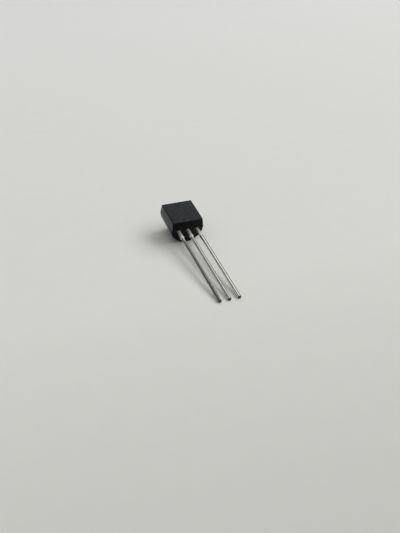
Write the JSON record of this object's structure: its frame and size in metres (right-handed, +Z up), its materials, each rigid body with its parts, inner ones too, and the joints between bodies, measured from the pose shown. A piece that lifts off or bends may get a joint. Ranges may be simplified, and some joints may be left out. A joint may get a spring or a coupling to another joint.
{
  "type": "to-92 transistor",
  "caption": "Small black plastic transistor with a flat front and a round back, lying flat side up on long straight tinned leads; die and bond wires inside.",
  "frame": {"origin": "middle of the underside of the box around the part as it lies, on the floor it rests on", "axes": "+Z up; -Y along the leads, away from the case; +Y towards the far end of the case; +X towards the collector lead, with the flat front up and the emitter lead at -X"},
  "size_m": [0.0046, 0.019, 0.004],
  "materials": {
    "epoxy_case": "satin",
    "tinned_lead": "satin",
    "silicon_die": "polished",
    "silver_epoxy": "matte",
    "gold_wire": "polished"
  },
  "bodies": {
    "root": {"moulded_case": "epoxy_case", "emitter_lead": "tinned_lead", "base_lead": "tinned_lead", "collector_lead": "tinned_lead", "die": "silicon_die", "die_attach": "silver_epoxy", "base_wire": "gold_wire", "emitter_wire": "gold_wire"}
  },
  "joints": []
}
